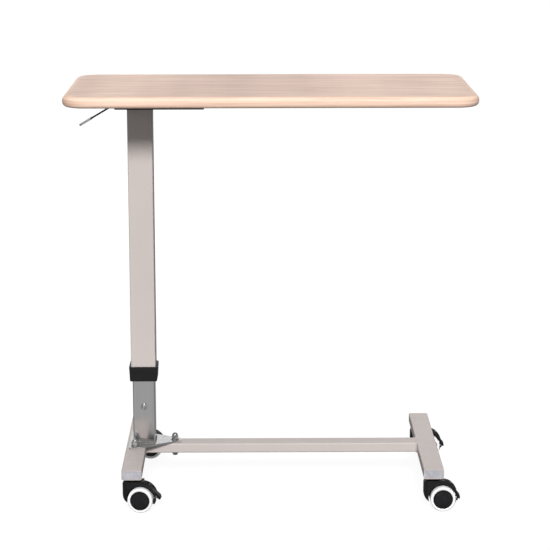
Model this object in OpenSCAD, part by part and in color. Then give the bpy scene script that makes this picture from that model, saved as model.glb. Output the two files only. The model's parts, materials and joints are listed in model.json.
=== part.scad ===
// Height-adjustable overbed table: tabletop on an off-centre telescopic column
// with a lockable gas spring, on a two-rail base with four twin-wheel castors.
// Millimetres. Z is up, X runs along the tabletop, Y across it. The origin is
// on the floor below the middle of the tabletop.

/* [Tabletop] */
// Length of the tabletop
table_l = 800; // [700:10:860]
// Depth of the tabletop
table_d = 400; // [380:10:440]
// Height of the top surface above the floor
table_h = 825; // [815:5:850]
// Thickness of the tabletop, which its round edge spans
table_t = 22; // [20:1:26]
// Plan radius of the tabletop corners
corner_r = 46; // [30:1:80]

/* [Column] */
// Distance of the column from the middle of the tabletop
column_off = 260; // [250:5:265]
// Side of the square outer tube
outer_w = 50; // [50:0.5:52]
// Side of the square inner tube
inner_w = 45; // [44:0.5:45]
// Wall of both column tubes
tube_wall = 1.5; // [1.2:0.1:1.6]
// Height of the outer tube's lower end above the floor
outer_foot_z = 224.5; // [222:0.5:240]
// Height of the inner tube's upper end above the floor
inner_top_z = 640; // [600:5:660]

/* [Base] */
// Length of each floor rail
rail_l = 400; // [380:10:440]
// Width of the rail and crossbar section
rail_w = 40; // [38:1:42]
// Height of the rail and crossbar section
rail_t = 20; // [20:1:24]
// Wall of the rail and crossbar tube
rail_wall = 1.5; // [1.2:0.1:2]
// Distance of the rail on the column side from the middle
rail_left_off = 276.5; // [270:0.5:280]
// Distance of the other rail from the middle
rail_right_off = 321; // [300:1:340]
// Thickness of the triangular column plate
plate_t = 4; // [3:0.5:6]

/* [Castors] */
// Wheel diameter
wheel_d = 50; // [48:1:52]
// Width over the pair of wheels
wheel_span = 48; // [46:1:50]
// Horizontal distance from the swivel axis to the axle
trail = 18.7; // [18:0.1:20]
// Distance between the castor stems of one rail
stem_gap = 355; // [340:1:360]
// Height of the rail's underside above the floor
castor_h = 67; // [66:1:72]

/* [Hidden] */

$fn = 64;
eps = 0.01;        // overshoot of cutting shapes
far = 1000;        // length of cutting shapes that run right through

// Tabletop layers
edge_r = table_t / 2;
core_l = table_l - table_t;
core_d = table_d - table_t;
core_r = corner_r - edge_r;
under_z = table_h - table_t;
laminate_t = 0.8;
backing_t = 0.6;

// Column
column_x = -column_off;
outer_in = outer_w - 2 * tube_wall;
inner_in = inner_w - 2 * tube_wall;
tube_corner = 3;
bracket_t = 3;
web_z = under_z - bracket_t;
plate_z = castor_h + rail_t;
tube_foot_z = plate_z + plate_t;

// Bracket under the tabletop
bracket_x0 = column_x - 52;
bracket_x1 = column_x + 132;
bracket_w = 80;
bracket_drop = 19;
bracket_chamfer = 4;
screw_x = [column_x - 38, column_x + 42, column_x + 118];
screw_y = 30;
screw_r = 2.25;
screw_head_r = 4.5;
screw_head_t = 2.4;
screw_depth = 14;

// Collar at the foot of the outer tube
collar_top_w = 58.5;
collar_foot_w = 55.5;
collar_z0 = outer_foot_z - 3;
collar_z1 = outer_foot_z + 27.5;
collar_corner = 6;
slide_gap = 0.3;
liner_h = 26;

// Gas spring
spring_r = 14;
spring_bore_r = 12;
bolt_z = 167;
spring_z0 = bolt_z + 12;
spring_z1 = spring_z0 + 385;
rod_r = 5;
rod_len = 505;
rod_top_z = web_z - 24;
rod_guide_gap = 0.05;
piston_r = 11.7;
piston_t = 16;
mount_t = 10;
mount_z = rod_top_z - mount_t - 4;
pin_r = 2;
pin_bore_r = 2.05;
pin_depth = 26;

// Cross bolt through the inner tube and the spring's eye
cross_r = 4;
cross_head_r = 7;
cross_head_t = 4.5;
eye_w = 16;

// Release lever
lever_x = column_x - 15;
lever_z = web_z - 12;
lever_t = 3;
lever_w = 7;
lever_hub_r = 5;
lever_knee_r = 1.7;
lever_pin_r = 2.5;
lever_hole_r = 2.56;
lever_bend_x = column_x - 48.5;
lever_drop = 30.5;
lever_arm = 58;
paddle_l = 30.5;
paddle_w = 19;
paddle_t = 3.6;
paddle_notch = 4;
paddle_corner = 7;

// Base rails
rail_left_x = -rail_left_off;
rail_right_x = rail_right_off;
rail_corner = 3;
stem_y = stem_gap / 2;
plug_t = 12;
plug_face = 0.4;
socket_r = 8;
socket_flange_r = 12;
socket_flange_t = 1.5;
stem_r = 5;
stem_gap_r = 0.05;
stem_top_z = plate_z - 3.5;

// Base plate and its bolts
plate_tip_x = column_x + 76;
plate_back_x = column_x - 30;
plate_half = 62;
plate_round = 6;
plate_tip_round = 14;
bolt_at = [[column_x - 18, -45], [column_x - 18, 45], [column_x + 62, 0]];
bolt_r = 4;
washer_r = 8.5;
washer_t = 1.4;
nut_af = 13;
nut_h = 7;
dome_r = 6;

// Castors: swivel centre, swivel angle, then how far the brake pedal is raised
pedal_travel = 7.5;
FRONT_LEFT = [rail_left_x, -stem_y, -6.5, pedal_travel];
FRONT_RIGHT = [rail_right_x, -stem_y, 0, 0];
BACK_LEFT = [rail_left_x, stem_y, 0, pedal_travel];
BACK_RIGHT = [rail_right_x, stem_y, 0, 0];
wheel_r = wheel_d / 2;
tyre_t = 5.6;
wheel_w = 15;
wheel_in = wheel_span / 2 - wheel_w;
cap_r = 19.3;
cap_bulge = 2.2;
axle_r = 3;
axle_bore_r = 3.06;
hood_r = 35.3;
hood_side_r = 30;
hood_clear = 27.4;
hood_half = 15;
nose_half = 14.5;
nose_clear = 27.9;
hood_web = 7;
hood_top = 60;
hood_left = 19;
hood_from = 57;
hood_to = 150;
web_to = 175;
boss_r = 18;
skirt_r = 29;
skirt_from = -24;
skirt_to = -10;
neck_r = 11;
neck_gap = 0.3;
stem_foot = 22;
pedal_pivot = [15, 26.5];
pedal_half = 8.4;
pedal_gap = 0.5;
knuckle_r = 3.2;
trunnion_r = 1.9;
trunnion_half = 12.8;
trunnion_gap = 0.06;

// ---------- shared shapes ----------

// Rectangle with rounded corners, centred
module rounded_rect(l, w, r) {
    translate([-l / 2 + r, -w / 2]) square([l - 2 * r, w]);
    translate([-l / 2, -w / 2 + r]) square([l, w - 2 * r]);
    for (x = [-1, 1], y = [-1, 1])
        translate([x * (l / 2 - r), y * (w / 2 - r)]) circle(r);
}

// Ring section of a rectangular tube
module tube_section(l, w, wall, r) {
    difference() {
        rounded_rect(l, w, r);
        rounded_rect(l - 2 * wall, w - 2 * wall, r - wall);
    }
}

// Upright bar of the given plan between two heights
module upright(z0, z1) {
    translate([0, 0, z0]) linear_extrude(z1 - z0) children();
}

// Cylinder along Y, centred on y = 0
module pin_y(r, l) {
    rotate([90, 0, 0]) cylinder(r = r, h = l, center = true);
}

// Moves a shape to the column's axis
module at_column() {
    translate([column_x, 0, 0]) children();
}

// ---------- base ----------

// Floor rail along Y with holes for its two castor sockets
module rail(x) {
    difference() {
        translate([x, rail_l / 2, castor_h + rail_t / 2]) rotate([90, 0, 0])
            linear_extrude(rail_l) tube_section(rail_w, rail_t, rail_wall, rail_corner);
        for (y = [-stem_y, stem_y])
            translate([x, y, castor_h - eps])
                cylinder(r = socket_r, h = rail_wall + 2 * eps);
    }
}

module left_rail() {
    color("gainsboro") difference() {
        rail(rail_left_x);
        for (at = [bolt_at[0], bolt_at[1]])
            translate([at.x, at.y, castor_h - eps]) cylinder(r = bolt_r, h = rail_t + 1);
    }
}

module right_rail() {
    color("gainsboro") rail(rail_right_x);
}

module crossbar() {
    x0 = rail_left_x + rail_w / 2;
    x1 = rail_right_x - rail_w / 2;
    color("gainsboro") difference() {
        translate([x0, 0, castor_h + rail_t / 2]) rotate([90, 0, 90])
            linear_extrude(x1 - x0) tube_section(rail_w, rail_t, rail_wall, rail_corner);
        translate([bolt_at[2].x, 0, castor_h - eps]) cylinder(r = bolt_r, h = rail_t + 1);
    }
}

// Plugs in the four rail ends
module rail_end_caps() {
    plug_l = rail_w - 2 * rail_wall;
    plug_w = rail_t - 2 * rail_wall;
    color("lightsteelblue")
    for (x = [rail_left_x, rail_right_x], side = [0, 1])
        mirror([0, side, 0])
            translate([x, -rail_l / 2 + plug_face + plug_t, castor_h + rail_t / 2])
                rotate([90, 0, 0]) linear_extrude(plug_t)
                    rounded_rect(plug_l, plug_w, rail_corner - rail_wall);
}

// Bushes in the rails that hold the castor stems
module castor_sockets() {
    color("dimgray")
    for (x = [rail_left_x, rail_right_x], y = [-stem_y, stem_y])
        translate([x, y, castor_h]) difference() {
            union() {
                cylinder(r = socket_r, h = rail_t - rail_wall);
                translate([0, 0, -socket_flange_t])
                    cylinder(r = socket_flange_r, h = socket_flange_t);
            }
            translate([0, 0, -far / 2]) cylinder(r = stem_r + stem_gap_r, h = far);
        }
}

// Outline of the triangular plate, with its three corners rounded
module plate_outline() {
    hull() {
        for (y = [-1, 1])
            translate([plate_back_x + plate_round, y * (plate_half - plate_round)])
                circle(plate_round, $fn = 32);
        translate([plate_tip_x - plate_tip_round, 0]) circle(plate_tip_round, $fn = 48);
    }
}

module base_plate() {
    color("silver") difference() {
        translate([0, 0, plate_z]) linear_extrude(plate_t) plate_outline();
        for (at = bolt_at)
            translate([at.x, at.y, plate_z - eps]) cylinder(r = bolt_r, h = plate_t + 1);
    }
}

// Bolts with round heads under the rail and crossbar
module plate_bolts() {
    head_r = 7;
    head_t = 6;
    color("silver")
    for (at = bolt_at) translate([at.x, at.y, castor_h]) {
        cylinder(r = bolt_r, h = rail_t + plate_t + washer_t + nut_h);
        translate([0, 0, -head_t]) cylinder(r = head_r, h = head_t);
    }
}

module plate_washers() {
    color("silver")
    for (at = bolt_at) translate([at.x, at.y, tube_foot_z]) difference() {
        cylinder(r = washer_r, h = washer_t);
        translate([0, 0, -eps]) cylinder(r = bolt_r, h = washer_t + 2 * eps);
    }
}

// Domed nuts: a hexagon with a round cap
module cap_nuts() {
    color("white")
    for (at = bolt_at) translate([at.x, at.y, tube_foot_z + washer_t]) difference() {
        union() {
            cylinder(d = nut_af / cos(30), h = nut_h, $fn = 6);
            translate([0, 0, nut_h]) intersection() {
                sphere(dome_r);
                translate([-far / 2, -far / 2, 0]) cube(far);
            }
        }
        translate([0, 0, -eps]) cylinder(r = bolt_r, h = nut_h + eps);
    }
}

// ---------- fixed half of the column ----------

module inner_tube() {
    color("lightgray") difference() {
        at_column() upright(tube_foot_z, inner_top_z)
            tube_section(inner_w, inner_w, tube_wall, tube_corner);
        translate([column_x, 0, bolt_z]) pin_y(cross_r, far);
    }
}

// Plastic guide plugged into the inner tube, sliding in the outer tube
module upper_guide() {
    flange_t = 14;
    flange_w = outer_in - 2 * slide_gap;
    plug_l = 30;
    color("dimgray") at_column() difference() {
        union() {
            upright(inner_top_z - plug_l, inner_top_z)
                rounded_rect(inner_in, inner_in, tube_corner - tube_wall);
            upright(inner_top_z, inner_top_z + flange_t)
                rounded_rect(flange_w, flange_w, tube_corner - tube_wall);
        }
        translate([0, 0, inner_top_z - plug_l - eps]) cylinder(r = rod_r + 2, h = far);
    }
}

// Pressure tube of the gas spring with its lower eye
module gas_spring_cylinder() {
    cap_t = 8;
    color("black") at_column() difference() {
        union() {
            translate([0, 0, spring_z0]) cylinder(r = spring_r, h = spring_z1 - spring_z0);
            translate([-eye_w / 2, -eye_w / 2, bolt_z])
                cube([eye_w, eye_w, spring_z0 - bolt_z + eps]);
            translate([0, 0, bolt_z]) pin_y(eye_w / 2, eye_w);
        }
        translate([0, 0, bolt_z]) pin_y(cross_r, far);
        translate([0, 0, spring_z0 + cap_t])
            cylinder(r = spring_bore_r, h = spring_z1 - spring_z0 - 2 * cap_t);
        translate([0, 0, spring_z0 + cap_t]) cylinder(r = rod_r + rod_guide_gap, h = far);
    }
}

// Bolt across the inner tube, with a round head in front and a nut behind
module cross_bolt() {
    half = inner_w / 2;
    color("silver") translate([column_x, 0, bolt_z]) {
        pin_y(cross_r, inner_w);
        for (side = [0, 1]) mirror([0, side, 0])
            translate([0, -half, 0]) rotate([90, 0, 0])
                cylinder(r1 = cross_head_r, r2 = cross_head_r - 2, h = cross_head_t, $fn = 48);
    }
}

// ---------- sliding half of the column ----------

module outer_tube() {
    slot_w = lever_w + 2;
    slot_h = 20;
    color("tan") difference() {
        at_column() upright(outer_foot_z, web_z)
            tube_section(outer_w, outer_w, tube_wall, tube_corner);
        translate([column_x - outer_w, -slot_w / 2, web_z - slot_h])
            cube([outer_w / 2 + tube_wall * 2, slot_w, slot_h - 2]);
        translate([lever_x, 0, lever_z]) pin_y(lever_pin_r, far);
    }
}

// Wedge-sided block: full width at the top, narrower at the foot
module collar_wedge(depth) {
    rotate([90, 0, 0]) linear_extrude(depth, center = true) polygon([
        [-collar_foot_w / 2, collar_z0], [collar_foot_w / 2, collar_z0],
        [collar_top_w / 2, collar_z1], [-collar_top_w / 2, collar_z1]
    ]);
}

// Black collar round the tube's foot, with a liner inside the tube
module lower_collar() {
    slide_w = inner_w + 2 * slide_gap;
    color("black") at_column() {
        difference() {
            intersection() {
                collar_wedge(2 * collar_top_w);
                rotate([0, 0, 90]) collar_wedge(2 * collar_top_w);
                upright(collar_z0, collar_z1)
                    rounded_rect(collar_top_w, collar_top_w, collar_corner);
            }
            upright(outer_foot_z, collar_z1 + eps)
                rounded_rect(outer_w, outer_w, tube_corner);
            upright(collar_z0 - eps, collar_z1)
                rounded_rect(slide_w, slide_w, tube_corner);
        }
        upright(outer_foot_z - eps, outer_foot_z + liner_h) difference() {
            rounded_rect(outer_in, outer_in, tube_corner - tube_wall);
            rounded_rect(slide_w, slide_w, tube_corner - tube_wall);
        }
    }
}

// Inverted channel with chamfered ends, screwed under the tabletop
module top_bracket() {
    x0 = bracket_x0;
    x1 = bracket_x1;
    c = bracket_chamfer;
    z0 = web_z - bracket_drop;
    color("darkslategray") difference() {
        rotate([90, 0, 0]) linear_extrude(bracket_w, center = true) polygon([
            [x0, under_z], [x0, z0 + bracket_drop / 2], [x0 + c, z0],
            [x1 - c, z0], [x1, z0 + bracket_drop / 2], [x1, under_z]
        ]);
        translate([x0 - 1, -bracket_w / 2 + bracket_t, z0 - 1])
            cube([x1 - x0 + 2, bracket_w - 2 * bracket_t, bracket_drop + 1]);
        screw_holes();
    }
}

// Round holes for the six bracket screws
module screw_holes() {
    for (x = screw_x, y = [-screw_y, screw_y])
        translate([x, y, web_z - eps]) cylinder(r = screw_r, h = bracket_t + screw_depth + eps);
}

module bracket_screws() {
    color("silver")
    for (x = screw_x, y = [-screw_y, screw_y]) translate([x, y, web_z]) {
        cylinder(r = screw_r, h = bracket_t + screw_depth);
        translate([0, 0, -screw_head_t]) cylinder(r = screw_head_r, h = screw_head_t);
    }
}

// Block across the outer tube that carries the spring's rod
module rod_mount() {
    color("gray") at_column() difference() {
        upright(mount_z, mount_z + mount_t)
            rounded_rect(outer_in, outer_in, tube_corner - tube_wall);
        translate([0, 0, mount_z - eps]) cylinder(r = rod_r, h = mount_t + 2 * eps);
    }
}

// Piston rod with its piston and a bore for the release pin
module gas_spring_rod() {
    color("silver") at_column() difference() {
        union() {
            translate([0, 0, rod_top_z - rod_len]) cylinder(r = rod_r, h = rod_len);
            translate([0, 0, rod_top_z - rod_len]) cylinder(r = piston_r, h = piston_t);
        }
        translate([0, 0, rod_top_z - pin_depth]) cylinder(r = pin_bore_r, h = far);
    }
}

module lever_pivot_pin() {
    color("silver") translate([lever_x, 0, lever_z]) {
        pin_y(lever_pin_r, outer_w);
        for (side = [0, 1]) mirror([0, side, 0])
            translate([0, -outer_w / 2, 0]) rotate([90, 0, 0])
                cylinder(r = lever_pin_r + 1.5, h = 1.5);
    }
}

// ---------- tabletop ----------

module core_plan() {
    rounded_rect(core_l, core_d, core_r);
}

module tabletop_core() {
    color("peru") difference() {
        upright(under_z + backing_t, table_h - laminate_t) core_plan();
        screw_holes();
    }
}

module top_laminate() {
    color("tan") upright(table_h - laminate_t, table_h) core_plan();
}

module backing_sheet() {
    color("wheat") difference() {
        upright(under_z, under_z + backing_t) core_plan();
        screw_holes();
    }
}

// Half-round section, flat side on the Y axis, bulging to +X
module half_round() {
    intersection() {
        circle(edge_r);
        translate([0, -edge_r]) square([edge_r, table_t]);
    }
}

// Half-round strip all round the core: four straights and four corners
module edge_moulding() {
    straight_l = core_l - 2 * core_r;
    straight_d = core_d - 2 * core_r;
    color("sandybrown") translate([0, 0, under_z + edge_r]) {
        for (side = [0, 1]) mirror([0, side, 0])
            translate([straight_l / 2, core_d / 2, 0]) rotate([90, 0, -90])
                linear_extrude(straight_l) mirror([1, 0]) half_round();
        for (side = [0, 1]) mirror([side, 0, 0])
            translate([core_l / 2, straight_d / 2, 0]) rotate([90, 0, 0])
                linear_extrude(straight_d) half_round();
        for (sx = [0, 1], sy = [0, 1]) mirror([sx, 0, 0]) mirror([0, sy, 0])
            translate([core_l / 2 - core_r, core_d / 2 - core_r, 0])
                rotate_extrude(angle = 90) translate([core_r, 0]) half_round();
    }
}

// ---------- release lever ----------

// Moves a shape to the end of the lever's straight part, along its slope
module at_lever_slope() {
    translate([lever_bend_x, 0, lever_z]) rotate([0, -lever_drop, 0])
        children();
}

module release_lever() {
    inner_x = column_x + 4;
    color("dimgray") rotate([90, 0, 0]) linear_extrude(lever_w, center = true) difference() {
        union() {
            translate([lever_bend_x, lever_z - lever_t / 2])
                square([inner_x - lever_bend_x, lever_t]);
            translate([lever_bend_x, lever_z]) {
                circle(lever_knee_r);
                rotate(lever_drop) translate([-lever_arm, -lever_t / 2])
                    square([lever_arm, lever_t]);
            }
            translate([lever_x, lever_z]) circle(lever_hub_r);
        }
        translate([lever_x, lever_z]) circle(lever_hole_r);
    }
}

// Thumb plate notched onto the lever's outer end
module lever_paddle() {
    color("silver") at_lever_slope()
        translate([-lever_arm - paddle_l / 2 + paddle_notch, 0, -paddle_t / 2])
            linear_extrude(paddle_t) difference() {
                rounded_rect(paddle_l, paddle_w, paddle_corner);
                translate([paddle_l / 2 - paddle_notch, -lever_w / 2])
                    square([lever_arm, lever_w]);
            }
}

// Pin in the rod's bore that opens the spring's valve
module release_pin() {
    gap = 0.3;
    head_z = lever_z - lever_t / 2 - gap;
    color("silver") at_column()
        translate([0, 0, rod_top_z - pin_depth + 4])
            cylinder(r = pin_r, h = head_z - rod_top_z + pin_depth - 4);
}

// ---------- castors, drawn round their own swivel axis ----------

module at_castor(place) {
    translate([place.x, place.y, 0]) rotate([0, 0, place[2]]) children();
}

// Moves a shape to the axle; its Z axis turns to lie along Y
module about_axle() {
    translate([trail, 0, wheel_r]) rotate([90, 0, 0]) children();
}

// Domed cover over both wheels, as a section in radius and width
module dome_section() {
    steps = 8;
    polygon(concat(
        [[hood_clear, hood_half], [hood_clear, -hood_half]],
        [for (i = [-steps:steps]) let (s = i / steps)
            [hood_r - (hood_r - hood_side_r) * s * s, s * hood_half]]
    ));
}

// Front of the hood round the swivel axis, outside the wheels
module hood_nose() {
    intersection() {
        rotate([90, 0, 0]) linear_extrude(2 * nose_half, center = true) polygon([
            [-hood_left, 34], [-17.6, 27.5], [-14, 22], [-9, 18], [trail, wheel_r],
            [trail + 4, hood_top], [-hood_left + 4, hood_top], [-hood_left, hood_top - 4]
        ]);
        upright(0, hood_top) translate([10, 0])
            rounded_rect(2 * (hood_left + 10), 2 * nose_half, 12);
    }
}

// Flat sector of a disc between two angles
module sector(from, to, r) {
    reach = 3 * r;
    mid = (from + to) / 2;
    intersection() {
        circle(r);
        polygon(concat([[0, 0]], [for (a = [from, mid, to]) reach * [cos(a), sin(a)]]));
    }
}

// Web of the hood between the wheels, with a skirt behind them
module hood_web_plan() {
    circle(boss_r);
    sector(hood_from + 2, web_to, hood_clear + 1);
    sector(skirt_from, skirt_to, skirt_r);
}

// One-piece hood: dome over the wheels, nose and the web between them
module castor_hood() {
    neck_h = castor_h - socket_flange_t - neck_gap - hood_top;
    color("black") difference() {
        union() {
            difference() {
                hood_nose();
                about_axle() cylinder(r = nose_clear, h = far, center = true);
            }
            about_axle() {
                rotate([0, 0, hood_from])
                    rotate_extrude(angle = hood_to - hood_from) dome_section();
                linear_extrude(2 * hood_web, center = true) hood_web_plan();
            }
            translate([0, 0, hood_top - 6]) cylinder(r = neck_r, h = neck_h + 6);
        }
        about_axle() cylinder(r = axle_bore_r, h = far, center = true);
        translate([0, 0, hood_top - stem_foot]) cylinder(r = stem_r, h = far);
        about_axle() pedal_room();
    }
}

// Slot that the pedal needs in the hood at both ends of its travel
module pedal_room() {
    linear_extrude(2 * (pedal_half + pedal_gap), center = true) polygon([
        [21.6, -3.8], [22, 3], [20, 9.5], [16, 15.2], [12, 19.2],
        [10.6, 22], [10.6, 29.5], [16.5, 40], [45, 40], [45, -7.9]
    ]);
    translate(pedal_pivot)
        cylinder(r = trunnion_r + trunnion_gap, h = 2 * trunnion_half + pedal_gap, center = true);
}

module castor_stem() {
    foot_z = hood_top - stem_foot;
    color("silver") translate([0, 0, foot_z]) cylinder(r = stem_r, h = stem_top_z - foot_z);
}

// Both wheels of one castor, a child on each side of the hood
module each_wheel() {
    for (side = [0, 1]) mirror([0, side, 0])
        translate([trail, -wheel_in, wheel_r]) rotate([90, 0, 0]) children();
}

module castor_tyres() {
    edge = 2.5;
    color("white") each_wheel() rotate_extrude() difference() {
        union() {
            translate([wheel_r - tyre_t, 0]) square([tyre_t - edge, wheel_w]);
            translate([wheel_r - edge, edge]) square([edge, wheel_w - 2 * edge]);
            for (h = [edge, wheel_w - edge]) translate([wheel_r - edge, h]) circle(edge, $fn = 32);
        }
        translate([0, -edge]) square([wheel_r - tyre_t, far]);
    }
}

module castor_wheels() {
    hub_r = 8;
    color("dimgray") each_wheel() rotate_extrude() {
        translate([axle_r, 0]) square([hub_r - axle_r, wheel_w - 3]);
        translate([axle_r, wheel_w / 2 - 2]) square([wheel_r - tyre_t - axle_r, 4]);
        translate([wheel_r - tyre_t - 1.5, 0]) square([1.5, wheel_w - 2]);
    }
}

module castor_hub_caps() {
    dome = (cap_r * cap_r + cap_bulge * cap_bulge) / (2 * cap_bulge);
    seat = wheel_w - 2;
    color("black") each_wheel() rotate_extrude() intersection() {
        translate([0, wheel_w + cap_bulge - dome]) circle(dome, $fn = 720);
        translate([0, seat]) square([cap_r, cap_bulge + 2]);
    }
}

module castor_axle() {
    color("silver") about_axle()
        cylinder(r = axle_r, h = wheel_span - 6, center = true);
}

// Curved foot pedal behind the wheels, swung up about its trunnions
module brake_pedal(raised) {
    color("black") about_axle() translate(pedal_pivot) rotate([0, 0, raised])
        translate(-pedal_pivot) {
            linear_extrude(2 * pedal_half, center = true) polygon([
                [17.8, 28.2], [19.4, 21.6], [22, 17.6], [26.5, 12], [31, 7],
                [34.8, 2.6], [35.2, -3.2], [32.4, -3.6], [30, -1], [27, 4.5],
                [22.8, 10.5], [17.5, 16.4], [13, 21], [12, 25]
            ]);
            translate(pedal_pivot) {
                cylinder(r = knuckle_r, h = 2 * pedal_half, center = true);
                cylinder(r = trunnion_r, h = 2 * trunnion_half, center = true);
            }
        }
}

// ---------- drawing ----------

left_rail();
right_rail();
crossbar();
rail_end_caps();
castor_sockets();
base_plate();
plate_bolts();
plate_washers();
cap_nuts();
inner_tube();
upper_guide();
gas_spring_cylinder();
cross_bolt();
outer_tube();
lower_collar();
top_bracket();
rod_mount();
gas_spring_rod();
tabletop_core();
edge_moulding();
top_laminate();
backing_sheet();
bracket_screws();
lever_pivot_pin();
release_lever();
lever_paddle();
release_pin();
at_castor(FRONT_LEFT) castor_hood();  // front_left_hood
at_castor(FRONT_LEFT) castor_stem();  // front_left_stem
at_castor(FRONT_LEFT) castor_tyres();  // front_left_tyres
at_castor(FRONT_LEFT) castor_wheels();  // front_left_wheels
at_castor(FRONT_LEFT) castor_hub_caps();  // front_left_hub_caps
at_castor(FRONT_LEFT) castor_axle();  // front_left_axle
at_castor(FRONT_LEFT) brake_pedal(FRONT_LEFT[3]);  // front_left_pedal
at_castor(FRONT_RIGHT) castor_hood();  // front_right_hood
at_castor(FRONT_RIGHT) castor_stem();  // front_right_stem
at_castor(FRONT_RIGHT) castor_tyres();  // front_right_tyres
at_castor(FRONT_RIGHT) castor_wheels();  // front_right_wheels
at_castor(FRONT_RIGHT) castor_hub_caps();  // front_right_hub_caps
at_castor(FRONT_RIGHT) castor_axle();  // front_right_axle
at_castor(FRONT_RIGHT) brake_pedal(FRONT_RIGHT[3]);  // front_right_pedal
at_castor(BACK_LEFT) castor_hood();  // back_left_hood
at_castor(BACK_LEFT) castor_stem();  // back_left_stem
at_castor(BACK_LEFT) castor_tyres();  // back_left_tyres
at_castor(BACK_LEFT) castor_wheels();  // back_left_wheels
at_castor(BACK_LEFT) castor_hub_caps();  // back_left_hub_caps
at_castor(BACK_LEFT) castor_axle();  // back_left_axle
at_castor(BACK_LEFT) brake_pedal(BACK_LEFT[3]);  // back_left_pedal
at_castor(BACK_RIGHT) castor_hood();  // back_right_hood
at_castor(BACK_RIGHT) castor_stem();  // back_right_stem
at_castor(BACK_RIGHT) castor_tyres();  // back_right_tyres
at_castor(BACK_RIGHT) castor_wheels();  // back_right_wheels
at_castor(BACK_RIGHT) castor_hub_caps();  // back_right_hub_caps
at_castor(BACK_RIGHT) castor_axle();  // back_right_axle
at_castor(BACK_RIGHT) brake_pedal(BACK_RIGHT[3]);  // back_right_pedal
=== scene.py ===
"""Looks of the overbed table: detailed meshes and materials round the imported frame.

Everything is in metres in the row frame: +Z up, X along the tabletop, -Y to the front.
Meshes hold their place in their own points, so object coordinates are frame coordinates.
"""

import json
import math

import bmesh
import bpy
from mathutils import Matrix, Vector


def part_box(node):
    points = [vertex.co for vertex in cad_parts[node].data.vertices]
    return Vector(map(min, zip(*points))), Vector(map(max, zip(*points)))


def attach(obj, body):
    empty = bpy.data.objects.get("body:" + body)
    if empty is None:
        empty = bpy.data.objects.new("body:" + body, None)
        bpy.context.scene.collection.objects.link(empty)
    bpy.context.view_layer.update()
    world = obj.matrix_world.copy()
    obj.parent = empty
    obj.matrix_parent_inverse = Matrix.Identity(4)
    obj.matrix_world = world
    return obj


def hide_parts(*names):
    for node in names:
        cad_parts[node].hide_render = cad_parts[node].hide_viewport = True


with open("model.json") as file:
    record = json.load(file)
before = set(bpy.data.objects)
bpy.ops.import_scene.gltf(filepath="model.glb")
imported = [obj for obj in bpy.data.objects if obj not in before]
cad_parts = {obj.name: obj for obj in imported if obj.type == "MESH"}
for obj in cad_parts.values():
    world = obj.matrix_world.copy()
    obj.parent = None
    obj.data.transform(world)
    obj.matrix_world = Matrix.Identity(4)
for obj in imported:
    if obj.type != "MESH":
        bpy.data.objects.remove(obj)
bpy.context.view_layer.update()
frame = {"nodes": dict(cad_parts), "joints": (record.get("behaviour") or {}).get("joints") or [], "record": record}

MM = 0.001
CORNERS = ("front_left", "front_right", "back_left", "back_right")
TUBE_WALL = 1.5 * MM
TUBE_CORNER = 3 * MM
MERGE = 0.001 * MM
AXIS_GAP = 0.02 * MM

# Castors, measured along the axle from the middle or out from it
WHEEL_FACE = 24 * MM
WHEEL_WIDTH = 15 * MM
TYRE_DEPTH = 5.6 * MM
CAP_RADIUS = 19.3 * MM
CAP_BULGE = 2.2 * MM
PEDAL_SPACE = 9.2 * MM
FENDER_FACE = 14.9 * MM


# ---------------------------------------------------------------- mesh tools

def add_object(name, bm, smooth=35.0):
    """An object from a bmesh, shaded smooth except where faces meet at more than smooth degrees."""
    bmesh.ops.recalc_face_normals(bm, faces=bm.faces)
    mark_edges(bm)
    mesh = bpy.data.meshes.new(name)
    bm.to_mesh(mesh)
    bm.free()
    piece = bpy.data.objects.new(name, mesh)
    bpy.context.scene.collection.objects.link(piece)
    shade(mesh, smooth)
    return piece


def shade(mesh, smooth):
    """Smooth shading with creases sharper than smooth degrees kept."""
    for face in mesh.polygons:
        face.use_smooth = True
    mesh.set_sharp_from_angle(angle=math.radians(smooth))


def keep_flats_flat(piece):
    """Weights the normals by face area, so that rounded edges do not bend the flats' shading."""
    weigh = piece.modifiers.new("weigh", "WEIGHTED_NORMAL")
    weigh.keep_sharp = True
    weigh.weight = 100
    apply_modifiers(piece)
    return piece


def mark_edges(bm):
    """Sets the face value 'edge' to 1 on narrow faces, which are the rounded edges that wear."""
    narrow = 1.2 * MM
    layer = bm.faces.layers.float.new("edge")
    for face in bm.faces:
        face[layer] = 1.0 if min(e.calc_length() for e in face.edges) < narrow else 0.0


def finish_piece(piece, material, body, slot, *nodes):
    """Gives a piece its material and body, and hides the CAD nodes that it stands for; slot is not used."""
    piece.data.materials.clear()
    piece.data.materials.append(material)
    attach(piece, body)
    if nodes:
        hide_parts(*nodes)
    return piece


def rounded_loop(length, width, radius, steps=8, spacing=None):
    """Rectangle with round corners, anticlockwise round the origin.

    With a spacing, the straight sides are cut into steps of about that length.
    """
    points = []
    for quarter, (sx, sy) in enumerate(((1, 1), (-1, 1), (-1, -1), (1, -1))):
        centre = Vector((sx * (length / 2 - radius), sy * (width / 2 - radius)))
        for step in range(steps + 1):
            angle = math.radians(90 * (quarter + step / steps))
            points.append(centre + radius * Vector((math.cos(angle), math.sin(angle))))
    if spacing is None:
        return points
    dense = []
    for here, there in zip(points, points[1:] + points[:1]):
        cuts = max(1, round((there - here).length / spacing))
        dense += [here.lerp(there, cut / cuts) for cut in range(cuts)]
    return dense


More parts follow.
